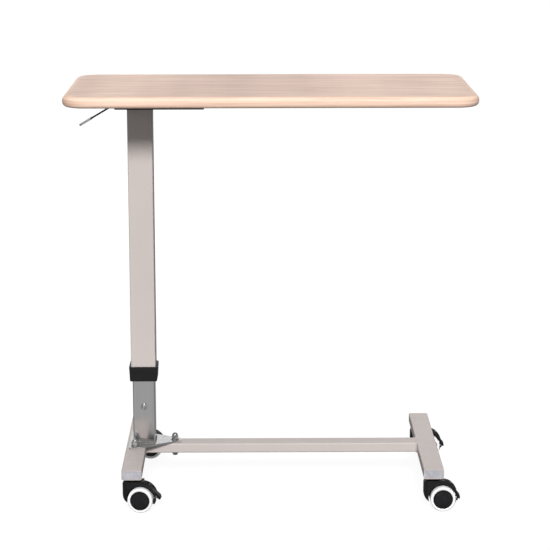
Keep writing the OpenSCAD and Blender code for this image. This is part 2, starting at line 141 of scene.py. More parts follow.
def loft(bm, loops, closed=False, caps=False):
    """Skins a list of loops with the same number of points, and writes a 'run' UV in metres."""
    uv = bm.loops.layers.uv.get("run") or bm.loops.layers.uv.new("run")
    rows = [[bm.verts.new(p) for p in loop] for loop in loops]
    first = loops[0]
    along = [0.0]
    for here, there in zip(first, first[1:] + first[:1]):
        along.append(along[-1] + (Vector(there) - Vector(here)).length)
    across = [0.0]
    for here, there in zip(loops, loops[1:] + loops[:1]):
        across.append(across[-1] + (Vector(there[0]) - Vector(here[0])).length)
    count = len(first)
    for j in range(len(rows) if closed else len(rows) - 1):
        lower, upper = rows[j], rows[(j + 1) % len(rows)]
        for i in range(count):
            k = (i + 1) % count
            face = bm.faces.new((lower[i], lower[k], upper[k], upper[i]))
            corners = ((i, j), (i + 1, j), (i + 1, j + 1), (i, j + 1))
            for corner, (a, b) in zip(face.loops, corners):
                corner[uv].uv = (along[a], across[b])
    if caps:
        bm.faces.new(reversed(rows[0]))
        bm.faces.new(rows[-1])


def round_profile(inset, low, high, radius, steps=3):
    """(inset, height) points up the outside of a bar whose two rims are rounded."""
    def rim(z, sign, order):
        turns = [math.radians(90 * s / steps) for s in order]
        return [(inset + radius * (1 - math.cos(t)), z + sign * radius * math.sin(t)) for t in turns]
    steps_up = range(steps + 1)
    return rim(low + radius, -1, reversed(steps_up)) + rim(high - radius, 1, steps_up)


def box_loops(size, corner, profile, place=None, steps=8, spacing=None):
    """Loops of a rounded box: profile gives (inset, height) pairs, place the frame it sits in."""
    place = place or Matrix()
    loops = []
    for inset, height in profile:
        outline = rounded_loop(size[0] - 2 * inset, size[1] - 2 * inset,
                               max(corner - inset, 0.1 * MM), steps, spacing)
        loops.append([place @ Vector((p.x, p.y, height)) for p in outline])
    return loops


def tube_profile(low, high, wall, rim=0.3 * MM):
    """Closed (inset, height) profile of a tube wall with softened ends."""
    outside = round_profile(0, low, high, rim, 2)
    inside = [(wall - inset, height) for inset, height in reversed(outside)]
    return outside + inside


def add_tube(name, size, low, high, place, corner=TUBE_CORNER, wall=TUBE_WALL):
    """Rectangular tube along the Z axis of place, with round corners and softened ends."""
    bm = bmesh.new()
    loft(bm, box_loops(size, corner, tube_profile(low, high, wall), place), closed=True)
    return keep_flats_flat(add_object(name, bm))


def lathe(bm, profile, place, segments=96):
    """Turns a profile of (radius, height) points about the Z axis of place."""
    loops = []
    for radius, height in profile:
        turns = [2 * math.pi * s / segments for s in range(segments)]
        loops.append([place @ Vector((radius * math.cos(t), radius * math.sin(t), height))
                      for t in turns])
    loft(bm, loops, closed=True)


def lathe_solid(bm, profile, place, segments=96):
    """Turns an open profile whose two ends lie on the axis."""
    hub = 0.01 * MM
    inner = [(hub, profile[0][1])] + list(profile) + [(hub, profile[-1][1])]
    lathe(bm, inner, place, segments)


def islands(node):
    """Boxes (lo, hi) of the separate solids in a CAD node, from left to right and front to back."""
    bm = bmesh.new()
    bm.from_mesh(frame["nodes"][node].data)
    bmesh.ops.remove_doubles(bm, verts=bm.verts, dist=MERGE)
    boxes, left = [], set(bm.verts)
    while left:
        group, queue = set(), [left.pop()]
        while queue:
            vert = queue.pop()
            group.add(vert)
            for edge in vert.link_edges:
                other = edge.other_vert(vert)
                if other in left:
                    left.discard(other)
                    queue.append(other)
        lo = Vector(min(v.co[i] for v in group) for i in range(3))
        hi = Vector(max(v.co[i] for v in group) for i in range(3))
        boxes.append((lo, hi))
    bm.free()
    return sorted(boxes, key=lambda b: (round(b[0].x, 4), round(b[0].y, 4), round(b[0].z, 4)))


def refined(name, node, width, segments=2, crease=30.0):
    """Copy of a CAD node with its flats merged and its sharp edges rounded."""
    bm = bmesh.new()
    bm.from_mesh(frame["nodes"][node].data)
    bmesh.ops.remove_doubles(bm, verts=bm.verts, dist=MERGE)
    bmesh.ops.dissolve_limit(bm, angle_limit=math.radians(0.4), verts=bm.verts, edges=bm.edges)
    sharp = [e for e in bm.edges
             if len(e.link_faces) == 2 and e.calc_face_angle(0) > math.radians(crease)]
    bmesh.ops.bevel(bm, geom=sharp, offset=width, segments=segments, affect="EDGES",
                    profile=0.5, clamp_overlap=True)
    return keep_flats_flat(add_object(name, bm))


def apply_modifiers(piece):
    """Bakes the piece's modifiers into its mesh."""
    graph = bpy.context.evaluated_depsgraph_get()
    mesh = bpy.data.meshes.new_from_object(piece.evaluated_get(graph))
    piece.modifiers.clear()
    piece.data = mesh


def moulded(name, node, extra=None, voxel=0.5 * MM, passes=6, keep=0.3):
    """Copy of a CAD node remeshed and relaxed into one moulding with soft edges.

    extra adds closed shapes to the bmesh first, which the remesh welds on.
    """
    bm = bmesh.new()
    bm.from_mesh(frame["nodes"][node].data)
    bmesh.ops.remove_doubles(bm, verts=bm.verts, dist=MERGE)
    if extra:
        extra(bm)
    piece = add_object(name, bm)
    remesh = piece.modifiers.new("remesh", "REMESH")
    remesh.mode = "VOXEL"
    remesh.voxel_size = voxel
    relax = piece.modifiers.new("relax", "SMOOTH")
    relax.factor = 0.5
    relax.iterations = passes
    thin = piece.modifiers.new("thin", "DECIMATE")
    thin.ratio = keep
    apply_modifiers(piece)
    shade(piece.data, 60.0)
    return piece


def axis_place(origin, axis, reference=Vector((0, 0, 1))):
    """Frame at origin whose Z axis lies along axis and whose X axis points up."""
    z = Vector(axis).normalized()
    x = (reference - z * reference.dot(z)).normalized()
    y = z.cross(x)
    turn = Matrix((x, y, z)).transposed().to_4x4()
    return Matrix.Translation(origin) @ turn


# ---------------------------------------------------------------- materials

class Paint:
    """A material under construction, with short calls for its nodes."""

    def __init__(self, name, color, roughness, metallic=0.0, specular=0.5):
        self.material = bpy.data.materials.new(name)
        self.material.use_nodes = True
        self.tree = self.material.node_tree
        self.shader = self.tree.nodes["Principled BSDF"]
        self.color = color
        self.set("Base Color", (*color, 1))
        self.set("Roughness", roughness)
        self.set("Metallic", metallic)
        self.set("Specular IOR Level", specular)
        self.normal = None

    def set(self, socket, value):
        self.shader.inputs[socket].default_value = value

    def node(self, kind, inputs=None, **settings):
        made = self.tree.nodes.new("ShaderNode" + kind)
        for key, value in settings.items():
            setattr(made, key, value)
        for key, value in (inputs or {}).items():
            if isinstance(value, bpy.types.NodeSocket):
                self.tree.links.new(value, made.inputs[key])
            else:
                made.inputs[key].default_value = value
        return made

    def place(self, scale=(1, 1, 1), source="Object", offset=(0, 0, 0)):
        """Coordinates in metres, stretched by scale."""
        if source == "run":
            point = self.node("UVMap", uv_map="run").outputs["UV"]
        else:
            point = self.node("TexCoord").outputs[source]
        return self.node("Mapping", {"Vector": point, "Scale": scale, "Location": offset}).outputs[0]

    def noise(self, where, scale=1.0, detail=3.0, roughness=0.55, distortion=0.0):
        return self.node("TexNoise", {"Vector": where, "Scale": scale, "Detail": detail,
                                      "Roughness": roughness, "Distortion": distortion}).outputs[0]

    def spread(self, value, low, high, start=0.0, end=1.0):
        """Maps a value from start..end to low..high."""
        return self.node("MapRange", {"Value": value, "From Min": start, "From Max": end,
                                      "To Min": low, "To Max": high}).outputs[0]

    def math(self, operation, a, b):
        return self.node("Math", {0: a, 1: b}, operation=operation).outputs[0]

    def blend(self, fac, first, second, mode="MIX"):
        """Mix of two colours; a colour is a socket or a tuple."""
        made = self.node("Mix", data_type="RGBA", blend_type=mode)
        for slot, value in ((0, fac), (6, first), (7, second)):
            if isinstance(value, bpy.types.NodeSocket):
                self.tree.links.new(value, made.inputs[slot])
            elif slot == 0:
                made.inputs[slot].default_value = value
            else:
                made.inputs[slot].default_value = (*value, 1)
        return made.outputs[2]

    def tint(self, color, value):
        """Multiplies a colour by a grey value."""
        grey = self.node("CombineColor", {0: value, 1: value, 2: value}).outputs[0]
        return self.blend(1.0, color, grey, "MULTIPLY")

    def bump(self, height, strength, distance=0.1 * MM):
        inputs = {"Height": height, "Strength": strength, "Distance": distance}
        if self.normal is not None:
            inputs["Normal"] = self.normal
        self.normal = self.node("Bump", inputs).outputs[0]

    def wear(self, amount=0.5, scale=180.0):
        """Mask of scuffed spots along the rounded edges."""
        edge = self.node("Attribute", attribute_name="edge").outputs["Fac"]
        patches = self.noise(self.place(), scale, 4.0, 0.65)
        spots = self.spread(patches, 0.0, 1.0, 0.62 - 0.2 * amount, 0.72 - 0.1 * amount)
        return self.math("MULTIPLY", edge, spots)

    def done(self, color=None, roughness=None):
        if color is not None:
            self.tree.links.new(color, self.shader.inputs["Base Color"])
        if roughness is not None:
            self.tree.links.new(roughness, self.shader.inputs["Roughness"])
        if self.normal is not None:
            self.tree.links.new(self.normal, self.shader.inputs["Normal"])
        return self.material


def powder_coat(name, color, bare=(0.70, 0.66, 0.63), gloss=0.40):
    """Satin powder coat: orange peel, a faint drift in tone and rubbed edges."""
    p = Paint(name, color, gloss, specular=0.25)
    drift = p.spread(p.noise(p.place(), 5.0, 2.0), 0.96, 1.04, 0.3, 0.7)
    speck = p.spread(p.noise(p.place(), 1800.0, 2.0), 0.97, 1.03, 0.3, 0.7)
    base = p.tint(p.tint(color, drift), speck)
    worn = p.blend(p.math("MULTIPLY", p.wear(0.4), 0.4), base, bare)
    p.bump(p.noise(p.place(), 650.0, 2.0, 0.4), 0.10, 0.15 * MM)
    p.bump(p.noise(p.place(), 60.0, 2.0, 0.4), 0.04, 0.5 * MM)
    rough = p.spread(p.noise(p.place(), 35.0, 4.0), gloss - 0.06, gloss + 0.08, 0.3, 0.7)
    return p.done(worn, rough)


def drawn_steel(name, color, gloss, stretch):
    """Polished metal with fine drawing lines along its length."""
    p = Paint(name, color, gloss, metallic=1.0)
    lines = p.noise(p.place(stretch), 1.0, 5.0, 0.7)
    smudge = p.noise(p.place(), 22.0, 3.0, 0.6)
    tone = p.spread(lines, 0.93, 1.05, 0.3, 0.7)
    rough = p.math("ADD", p.spread(lines, gloss - 0.03, gloss + 0.04, 0.3, 0.7),
                   p.spread(smudge, 0.0, 0.05, 0.5, 0.8))
    p.bump(lines, 0.02, 0.02 * MM)
    return p.done(p.tint(p.tint(color, tone), p.spread(smudge, 1.0, 0.93, 0.5, 0.85)), rough)


def bright_metal(name, color, gloss, mottle=90.0, dull=0.16):
    """Plated metal: bright, with smears, pin marks and dulled edges."""
    p = Paint(name, color, gloss, metallic=1.0)
    smear = p.noise(p.place(), mottle, 4.0, 0.6, 0.4)
    grit = p.noise(p.place(), 1400.0, 2.0)
    tone = p.spread(smear, 0.90, 1.04, 0.3, 0.7)
    base = p.blend(p.math("MULTIPLY", p.wear(0.6, 260.0), 0.5), p.tint(color, tone),
                   (0.34, 0.33, 0.32))
    p.bump(grit, 0.04, 0.05 * MM)
    p.bump(smear, 0.05, 0.1 * MM)
    return p.done(base, p.spread(smear, gloss, gloss + dull, 0.35, 0.75))


def moulded_plastic(name, color, gloss, grain=2200.0, depth=0.16, rubbed=(0.09, 0.09, 0.095)):
    """Moulded plastic with a fine eroded texture, polished patches and dust in the grain."""
    p = Paint(name, color, gloss, specular=0.38)
    fine = p.noise(p.place(), grain, 2.0, 0.6)
    patch = p.noise(p.place(), 55.0, 4.0, 0.6)
    tone = p.spread(patch, 0.85, 1.2, 0.3, 0.7)
    dusty = p.blend(p.spread(fine, 0.0, 0.18, 0.5, 0.8), p.tint(color, tone), rubbed)
    base = p.blend(p.math("MULTIPLY", p.wear(0.5, 220.0), 0.6), dusty, rubbed)
    p.bump(fine, depth, 0.08 * MM)
    p.bump(p.noise(p.place(), 130.0, 2.0), 0.05, 0.2 * MM)
    return p.done(base, p.spread(patch, gloss - 0.05, gloss + 0.1, 0.3, 0.7))


def rubber(name, color):
    """Matt tyre rubber with fine pores, mould mist and faint floor dirt."""
    p = Paint(name, color, 0.6, specular=0.35)
    pores = p.noise(p.place(), 1600.0, 3.0, 0.7)
    dirt = p.spread(p.noise(p.place(), 70.0, 5.0, 0.7, 0.6), 0.0, 0.35, 0.55, 0.85)
    base = p.blend(dirt, p.tint(color, p.spread(pores, 0.97, 1.02, 0.3, 0.7)), (0.66, 0.65, 0.63))
    p.bump(pores, 0.1, 0.08 * MM)
    return p.done(base, p.spread(pores, 0.52, 0.68, 0.3, 0.7))


def wood(name, light, mid, dark, gloss, source, figure_scale, bands):
    """Printed beech grain: growth figure, fibres, short pores and slow drift along the board.

    figure_scale counts the streaks of the figure per metre along the grain and across it.
    """
    p = Paint(name, mid, gloss, specular=0.2)
    along, across = figure_scale

    def grain(times, finer, detail, rough, twist=0.0):
        where = p.place((along * times, across * finer, across * finer), source)
        return p.noise(where, 1.0, detail, rough, twist)

    figure = grain(1.0, 1.0, 5.0, 0.62, 0.5)
    streak = grain(0.7, 2.3, 3.0, 0.55, 0.3)
    fibre = grain(6.0, 16.0, 3.0, 0.6)
    pore = grain(18.0, 24.0, 2.0, 0.5)
    drift = p.noise(p.place((9.0, 0.4, 0.4), source), 1.0, 1.0, 0.4)
    tone = p.blend(p.spread(figure, 0.0, 1.0, 0.38, 0.62), mid, light)
    tone = p.blend(p.spread(streak, 0.0, 0.55, 0.52, 0.72), tone, dark)
    tone = p.tint(tone, p.spread(fibre, 0.94, 1.05, 0.3, 0.7))
    tone = p.tint(tone, p.spread(drift, 1.0 - bands, 1.0 + bands, 0.35, 0.65))
    tone = p.blend(p.spread(pore, 0.0, 0.35, 0.62, 0.72), tone, dark)
    worn = p.blend(p.math("MULTIPLY", p.wear(0.3), 0.25), tone, light)
    p.bump(fibre, 0.06, 0.08 * MM)
    p.bump(pore, 0.05, 0.06 * MM)
    return p.done(worn, p.spread(figure, gloss - 0.05, gloss + 0.06, 0.3, 0.7))


def board(name, color):
    """Pressed chips, seen only at a cut edge."""
    p = Paint(name, color, 0.85)
    chips = p.node("TexVoronoi", {"Vector": p.place((1, 1, 2.5)), "Scale": 420.0}).outputs["Color"]
    grey = p.node("RGBToBW", {"Color": chips}).outputs[0]
    p.bump(grey, 0.4, 0.3 * MM)
    return p.done(p.tint(color, p.spread(grey, 0.7, 1.15, 0.1, 0.9)))


def floor_paint(name):
    """Pale studio floor with its own faint glow, so that shadows on it stay light."""
    p = Paint(name, (0.10, 0.10, 0.10), 0.9, specular=0.0)
    p.set("Emission Color", (1, 1, 1, 1))
    p.set("Emission Strength", 0.93)
    return p.done()


def make_materials():
    """Every material, by the slot that it is for or by its own name."""
    return {
        "frame_paint": powder_coat("frame_paint", (0.545, 0.490, 0.468)),
        "end_plug": moulded_plastic("end_plug", (0.400, 0.396, 0.430), 0.42, 900.0, 0.08,
                                    (0.52, 0.52, 0.54)),
        "zinc_steel": bright_metal("zinc_steel", (0.50, 0.50, 0.51), 0.34, 160.0),
        "bright_plate": bright_metal("bright_plate", (0.90, 0.90, 0.91), 0.055, 60.0, 0.07),
        "polished_tube": drawn_steel("polished_tube", (0.80, 0.79, 0.785), 0.13,
                                     (900.0, 900.0, 4.0)),
        "black_plastic": moulded_plastic("black_plastic", (0.009, 0.009, 0.010), 0.38, 2200.0, 0.12,
                                         (0.030, 0.030, 0.032)),
        "black_paint": moulded_plastic("black_paint", (0.020, 0.020, 0.022), 0.25, 900.0, 0.05),
        "dark_bracket": powder_coat("dark_bracket", (0.014, 0.013, 0.013), (0.16, 0.15, 0.15)),
        "board_core": board("board_core", (0.40, 0.26, 0.15)),
        "edge_wood": wood("edge_wood", (0.94, 0.690, 0.550), (0.86, 0.600, 0.465),
                          (0.52, 0.300, 0.195), 0.34, "run", (7.0, 150.0), 0.03),
        "top_wood": wood("top_wood", (0.870, 0.665, 0.565), (0.745, 0.545, 0.455),
                         (0.46, 0.300, 0.235), 0.46, "Object", (5.0, 40.0), 0.09),
        "backing": moulded_plastic("backing", (0.56, 0.51, 0.45), 0.6, 700.0, 0.1,
                                   (0.62, 0.58, 0.52)),
        "grey_grip": bright_metal("grey_grip", (0.93, 0.93, 0.94), 0.28, 120.0, 0.12),
        "castor_black": moulded_plastic("castor_black", (0.007, 0.007, 0.008), 0.36, 2200.0, 0.12,
                                        (0.026, 0.026, 0.028)),
        "tyre_white": rubber("tyre_white", (0.88, 0.88, 0.88)),
        "weld_steel": bright_metal("weld_steel", (0.60, 0.59, 0.57), 0.28, 300.0),
        "floor": floor_paint("floor"),
    }


MATERIAL = make_materials()


# ---------------------------------------------------------------- tabletop

def build_tabletop():
    """Laminate, half-round edge band and backing round the particle-board core."""
    lo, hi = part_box("edge_moulding")
    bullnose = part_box("tabletop_core")[0].x - lo.x
    size = (hi.x - lo.x, hi.y - lo.y)
    corner = corner_radius()
    middle = (lo.z + hi.z) / 2
    half = (hi.z - lo.z) / 2
    joint = 0.35 * MM

    steps = 24
    fullness = 2 / 2.35

    def full(value):
        return math.copysign(abs(value) ** fullness, value)

    arc = [math.radians(90 - 180 * s / steps) for s in range(steps + 1)]
    nose = [(bullnose * (1 - full(math.cos(a))), middle + half * full(math.sin(a))) for a in arc]
    nose[0] = (bullnose - joint, hi.z)
    nose[-1] = (bullnose - joint, lo.z)
    back = [(bullnose, lo.z + joint), (bullnose, hi.z - joint)]
    bm = bmesh.new()
    loft(bm, box_loops(size, corner, nose + back, steps=20), closed=True)
    band = add_object("edge_band", bm, 50.0)
    finish_piece(band, MATERIAL["edge_wood"], "column", "edge_wood", "edge_moulding")

    inner = (size[0] - 2 * bullnose, size[1] - 2 * bullnose)
    for name, node, slot in (("top_sheet", "top_laminate", "top_wood"),
                             ("under_sheet", "backing_sheet", "backing")):
        sheet_lo, sheet_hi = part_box(node)
        profile = round_profile(0, sheet_lo.z, sheet_hi.z, joint * 0.8)
        bm = bmesh.new()
        loft(bm, box_loops(inner, corner - bullnose, profile, steps=20), caps=True)
        sheet = keep_flats_flat(add_object(name, bm))
        finish_piece(sheet, MATERIAL[slot], "column", slot, node)


def corner_radius():
    """Plan radius of the tabletop: the length of the straight side taken off the whole."""
    mesh = frame["nodes"]["edge_moulding"].data
    lo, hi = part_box("edge_moulding")
    near = 0.01 * MM
    straight = max(v.co.x for v in mesh.vertices if v.co.y < lo.y + near)
    return hi.x - straight


# ---------------------------------------------------------------- column

def cut(piece, lo, hi):
    """Cuts a box out of a piece."""
    bm = bmesh.new()
    bmesh.ops.create_cube(bm, size=1.0)
    for vert in bm.verts:
        vert.co = Vector((lo[i] + (vert.co[i] + 0.5) * (hi[i] - lo[i])) for i in range(3))
    cutter = add_object("cutter", bm)
    boolean = piece.modifiers.new("cut", "BOOLEAN")
    boolean.operation = "DIFFERENCE"
    boolean.solver = "EXACT"
    boolean.object = cutter
    apply_modifiers(piece)
    bpy.data.objects.remove(cutter)
    shade(piece.data, 35.0)
    keep_flats_flat(piece)


def weld_bead(name, size, corner, place, radius, body, material, slot, ripple=1.5 * MM):
    """Rippled fillet of weld that runs round a rectangular tube in the XY plane of place."""
    outline = rounded_loop(size[0], size[1], corner, 6, ripple / 4)
    length = sum((b - a).length for a, b in zip(outline, outline[1:] + outline[:1]))
    waves = 2 * math.pi * round(length / ripple)
    sides = 10
    loops = []
    for side in range(sides):
        turn = 2 * math.pi * side / sides
        loop, run = [], 0.0
        for i, point in enumerate(outline):
            here = outline[i - 1]
            run += (point - here).length
            swell = 1 + 0.16 * math.sin(waves * run / length)
            ahead = outline[(i + 1) % len(outline)] - here
            out = Vector((ahead.y, -ahead.x)).normalized()
            reach = radius * swell
            spot = point + out * (reach * math.cos(turn) * 0.9)
            height = radius * 0.25 + reach * math.sin(turn)
            loop.append(place @ Vector((spot.x, spot.y, height)))
        loops.append(loop)
    bm = bmesh.new()
    loft(bm, loops, closed=True)
    bead = add_object(name, bm, 70.0)
    return finish_piece(bead, material, body, slot)


def build_column():
    """Sliding tube with its collar, polished inner tube, welds, bracket and cross bolt."""
    lo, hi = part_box("outer_tube")
    middle = (lo + hi) / 2
    axis = Matrix.Translation((middle.x, middle.y, 0))
    size = (hi.x - lo.x, hi.y - lo.y)
    outer = add_tube("column_tube", size, lo.z, hi.z, axis)
    lever_lo, lever_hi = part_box("release_lever")
    clear, outward, inward = 1 * MM, 5 * MM, 4.5 * MM
    slot_half = (lever_hi.y - lever_lo.y) / 2 + clear
    slot_top = hi.z - 2 * MM
    slot_low = hi.z - 20 * MM
    cut(outer, (lo.x - outward, -slot_half, slot_low), (lo.x + inward, slot_half, slot_top))
    finish_piece(outer, MATERIAL["frame_paint"], "column", "frame_paint", "outer_tube")
    turned = axis @ Matrix.Translation((0, 0, hi.z)) @ Matrix.Rotation(math.pi, 4, "X")
    weld_bead("bracket_weld", size, TUBE_CORNER, turned, 2.0 * MM, "column",
              MATERIAL["dark_bracket"], "dark_bracket")

    lo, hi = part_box("inner_tube")
    inner_size = (hi.x - lo.x, hi.y - lo.y)
    inner = add_tube("inner_column", inner_size, lo.z, hi.z, axis)
    finish_piece(inner, MATERIAL["polished_tube"], "base", "polished_tube", "inner_tube")
    foot = axis @ Matrix.Translation((0, 0, lo.z))
    weld_bead("foot_weld", inner_size, TUBE_CORNER, foot, 1.8 * MM, "base",
              MATERIAL["weld_steel"], "bright_plate")
    build_collar(axis, size)
    build_cross_bolt()

    bracket = refined("bracket", "top_bracket", 0.7 * MM, 3)
    finish_piece(bracket, MATERIAL["dark_bracket"], "column", "dark_bracket", "top_bracket")


def build_collar(axis, tube_size):
    """Tapered moulded collar with a rolled lip, a parting line and a soft foot."""
    lo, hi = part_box("lower_collar")
    width = hi.x - lo.x
    taper = 1.5 * MM
    height = hi.z - lo.z
    wall = (width - tube_size[0]) / 2 - 0.1 * MM
    lip = 1.4 * MM
    foot = 1.6 * MM
    line = 0.35 * MM

    def outside(z):
        return taper * (hi.z - z) / height

    steps = 5
    profile = []
    for s in range(steps + 1):
        a = math.radians(90 * s / steps)
        profile.append((outside(lo.z) + foot * (1 - math.sin(a)), lo.z + foot * (1 - math.cos(a))))
    seam = lo.z + 0.62 * height
    profile += [(outside(seam), seam - line), (outside(seam) + line, seam),
                (outside(seam), seam + line)]
    for s in range(steps + 1):
        a = math.radians(90 * s / steps)
        profile.append((lip * (1 - math.cos(a)), hi.z - lip * (1 - math.sin(a))))
    profile += [(wall - line, hi.z), (wall, hi.z - line)]
    inner = (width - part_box("inner_tube")[1].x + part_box("inner_tube")[0].x) / 2 - 0.3 * MM
    profile += [(wall, lo.z + 3 * MM), (inner, lo.z + 3 * MM), (inner, lo.z + line),
                (inner - line, lo.z)]
    bm = bmesh.new()
    loft(bm, box_loops((width, width), 6 * MM, profile, axis, steps=10), closed=True)
    collar = keep_flats_flat(add_object("collar", bm, 40.0))
    finish_piece(collar, MATERIAL["black_plastic"], "column", "black_plastic", "lower_collar")


def dome(radius, base, height, steps=8):
    """(radius, height) points of a low dome from its rim to its crown."""
    turns = [math.radians(90 * s / steps) for s in range(steps + 1)]
    return [(max(radius * math.cos(a), AXIS_GAP), base + height * math.sin(a)) for a in turns]


def build_cross_bolt():
    """The two round heads of the bolt through the inner tube; its shank stays in the CAD."""
    lo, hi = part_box("cross_bolt")
    tube_lo, tube_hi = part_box("inner_tube")
    centre = (lo + hi) / 2
    radius = (hi.x - lo.x) / 2
    bm = bmesh.new()
    for side, reach, face in ((-1, tube_lo.y - lo.y, tube_lo.y), (1, hi.y - tube_hi.y, tube_hi.y)):
        place = axis_place(Vector((centre.x, face, centre.z)), (0, side, 0))
        rim = 0.3 * MM
        profile = [(radius - rim, 0), (radius, rim), (radius, 0.9 * MM), (radius - rim, 1.2 * MM),
                   (radius * 0.84, 1.3 * MM)] + dome(radius * 0.8, 1.3 * MM, reach - 1.3 * MM)
        lathe_solid(bm, profile, place, 64)
    bolt = add_object("cross_bolt_heads", bm, 40.0)
    finish_piece(bolt, MATERIAL["bright_plate"], "base", "bright_plate", "cross_bolt")


# ---------------------------------------------------------------- base

def build_rails():
    """The two floor rails, the crossbar between them, their end plugs and the weld beads."""
    for name in ("left_rail", "right_rail"):
        rail = refined(name + "_tube", name, 0.3 * MM)
        finish_piece(rail, MATERIAL["frame_paint"], "base", "frame_paint", name)

    lo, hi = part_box("crossbar")
    middle = (lo + hi) / 2
    end_on = Matrix.Rotation(math.radians(90), 4, "Y")
    place = Matrix.Translation((0, 0, middle.z)) @ end_on
    section = (hi.z - lo.z, hi.y - lo.y)
    bar = add_tube("crossbar_tube", section, lo.x, hi.x, place)
    finish_piece(bar, MATERIAL["frame_paint"], "base", "frame_paint", "crossbar")
    for name, x, turn in (("left_weld", lo.x, 1), ("right_weld", hi.x, -1)):
        spin = Matrix.Rotation(math.radians(90 * turn), 4, "Y")
        weld_bead(name, section, TUBE_CORNER, Matrix.Translation((x, 0, middle.z)) @ spin,
                  1.5 * MM, "base", MATERIAL["frame_paint"], "frame_paint")

    bm = bmesh.new()
    for lo, hi in islands("rail_end_caps"):
        middle = (lo + hi) / 2
        outward = 1 if middle.y > 0 else -1
        depth = (hi.y - lo.y) / 2
        place = Matrix.Translation(middle) @ Matrix.Rotation(math.radians(-90 * outward), 4, "X")
        profile = round_profile(0, -depth, depth, 0.7 * MM, 4)
        rim, dish = profile[-1][0] + 1.6 * MM, 0.35 * MM
        profile += [(rim, depth), (rim + dish, depth - dish)]
        loft(bm, box_loops((hi.x - lo.x, hi.z - lo.z), 1.5 * MM, profile, place, 6), caps=True)
    plugs = keep_flats_flat(add_object("end_plugs", bm))
    finish_piece(plugs, MATERIAL["end_plug"], "base", "end_plug", "rail_end_caps")


def hex_loop(across_flats, height, place, cut_radius=None, segments=72):
    """Hexagon outline, cut back to a circle where cut_radius is given; height may fall at corners."""
    points = []
    for s in range(segments):
        turn = 2 * math.pi * s / segments
        sector = (turn + math.pi / 6) % (math.pi / 3) - math.pi / 6
        radius = across_flats / 2 / math.cos(sector)
        drop = 0.0
        if cut_radius is not None:
            drop = max(0.0, radius - cut_radius) * math.tan(math.radians(30))
        points.append(place @ Vector((radius * math.cos(turn), radius * math.sin(turn),
                                      height - drop)))
    return points


def circle_loop(radius, height, place, segments=72):
    """Circle outline at a height up the Z axis of place."""
    turns = [2 * math.pi * s / segments for s in range(segments)]
    return [place @ Vector((radius * math.cos(t), radius * math.sin(t), height)) for t in turns]


def threads(radius, start, length, pitch=0.8 * MM):
    """(radius, height) points of a short threaded end."""
    points = []
    for turn in range(int(length / pitch)):
        base = start + turn * pitch
        points += [(radius - 0.25 * MM, base), (radius, base + pitch / 2)]
    return points + [(radius - 0.5 * MM, start + length)]


def build_fasteners():
    """Plate with its washers and domed nuts, and the bolt ends under the rails, without shanks."""
    plate = refined("column_plate", "base_plate", 0.6 * MM, 3)
    finish_piece(plate, MATERIAL["bright_plate"], "base", "bright_plate", "base_plate")

    bm = bmesh.new()
    for lo, hi in islands("plate_washers"):
        centre = (lo + hi) / 2
        radius, bore = (hi.x - lo.x) / 2, 4.05 * MM
        place = Matrix.Translation((centre.x, centre.y, lo.z))
        thick, rim = hi.z - lo.z, 0.35 * MM
        lathe(bm, [(bore, 0), (radius - rim, 0), (radius, rim), (radius, thick - rim),
                   (radius - rim, thick), (bore + rim, thick), (bore, thick - rim)], place, 64)
    washers = add_object("washers", bm)
    finish_piece(washers, MATERIAL["bright_plate"], "base", "bright_plate", "plate_washers")

    bm = bmesh.new()
    for index, (lo, hi) in enumerate(islands("cap_nuts")):
        centre = (lo + hi) / 2
        dome_h, dome_r, lift = 6 * MM, 6 * MM, 0.6 * MM
        hex_h = hi.z - lo.z - dome_h
        flats = hi.y - lo.y
        place = (Matrix.Translation((centre.x, centre.y, lo.z))
                 @ Matrix.Rotation(math.radians(90 + 17 * index), 4, "Z"))
        bevel = flats / 2 * 0.97
        sides = flats * 0.995
        loops = [circle_loop(bevel * 0.96, 0, place), hex_loop(sides, 0.5 * MM, place),
                 hex_loop(sides, hex_h, place, bevel), circle_loop(bevel, hex_h, place),
                 circle_loop(dome_r, hex_h + lift / 2, place)]
        steps = 10
        for s in range(steps + 1):
            a = math.radians(90 * s / steps)
            radius = max((dome_r - 0.1 * MM) * math.cos(a), AXIS_GAP)
            rise = lift + (dome_h - lift) * math.sin(a)
            loops.append(circle_loop(radius, hex_h + rise, place))
        loft(bm, loops, caps=True)
    nuts = keep_flats_flat(add_object("dome_nuts", bm, 28.0))
    finish_piece(nuts, MATERIAL["bright_plate"], "base", "bright_plate", "cap_nuts")

    bm = bmesh.new()
    rail_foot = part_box("crossbar")[0].z
    for lo, hi in islands("plate_bolts"):
        centre = (lo + hi) / 2
        radius, reach = (hi.x - lo.x) / 2, rail_foot - lo.z
        place = axis_place(Vector((centre.x, centre.y, rail_foot)), (0, 0, -1), Vector((1, 0, 0)))
        profile = [(radius * 0.97, 0), (radius, 0.4 * MM), (radius, reach - 1.2 * MM),
                   (radius - 1.2 * MM, reach)]
        profile += threads(radius * 0.72, reach, 3.2 * MM)
        lathe_solid(bm, profile, place, 64)
    heads = add_object("bolt_heads", bm, 40.0)
    finish_piece(heads, MATERIAL["zinc_steel"], "base", "bright_plate", "plate_bolts")


# ---------------------------------------------------------------- lever

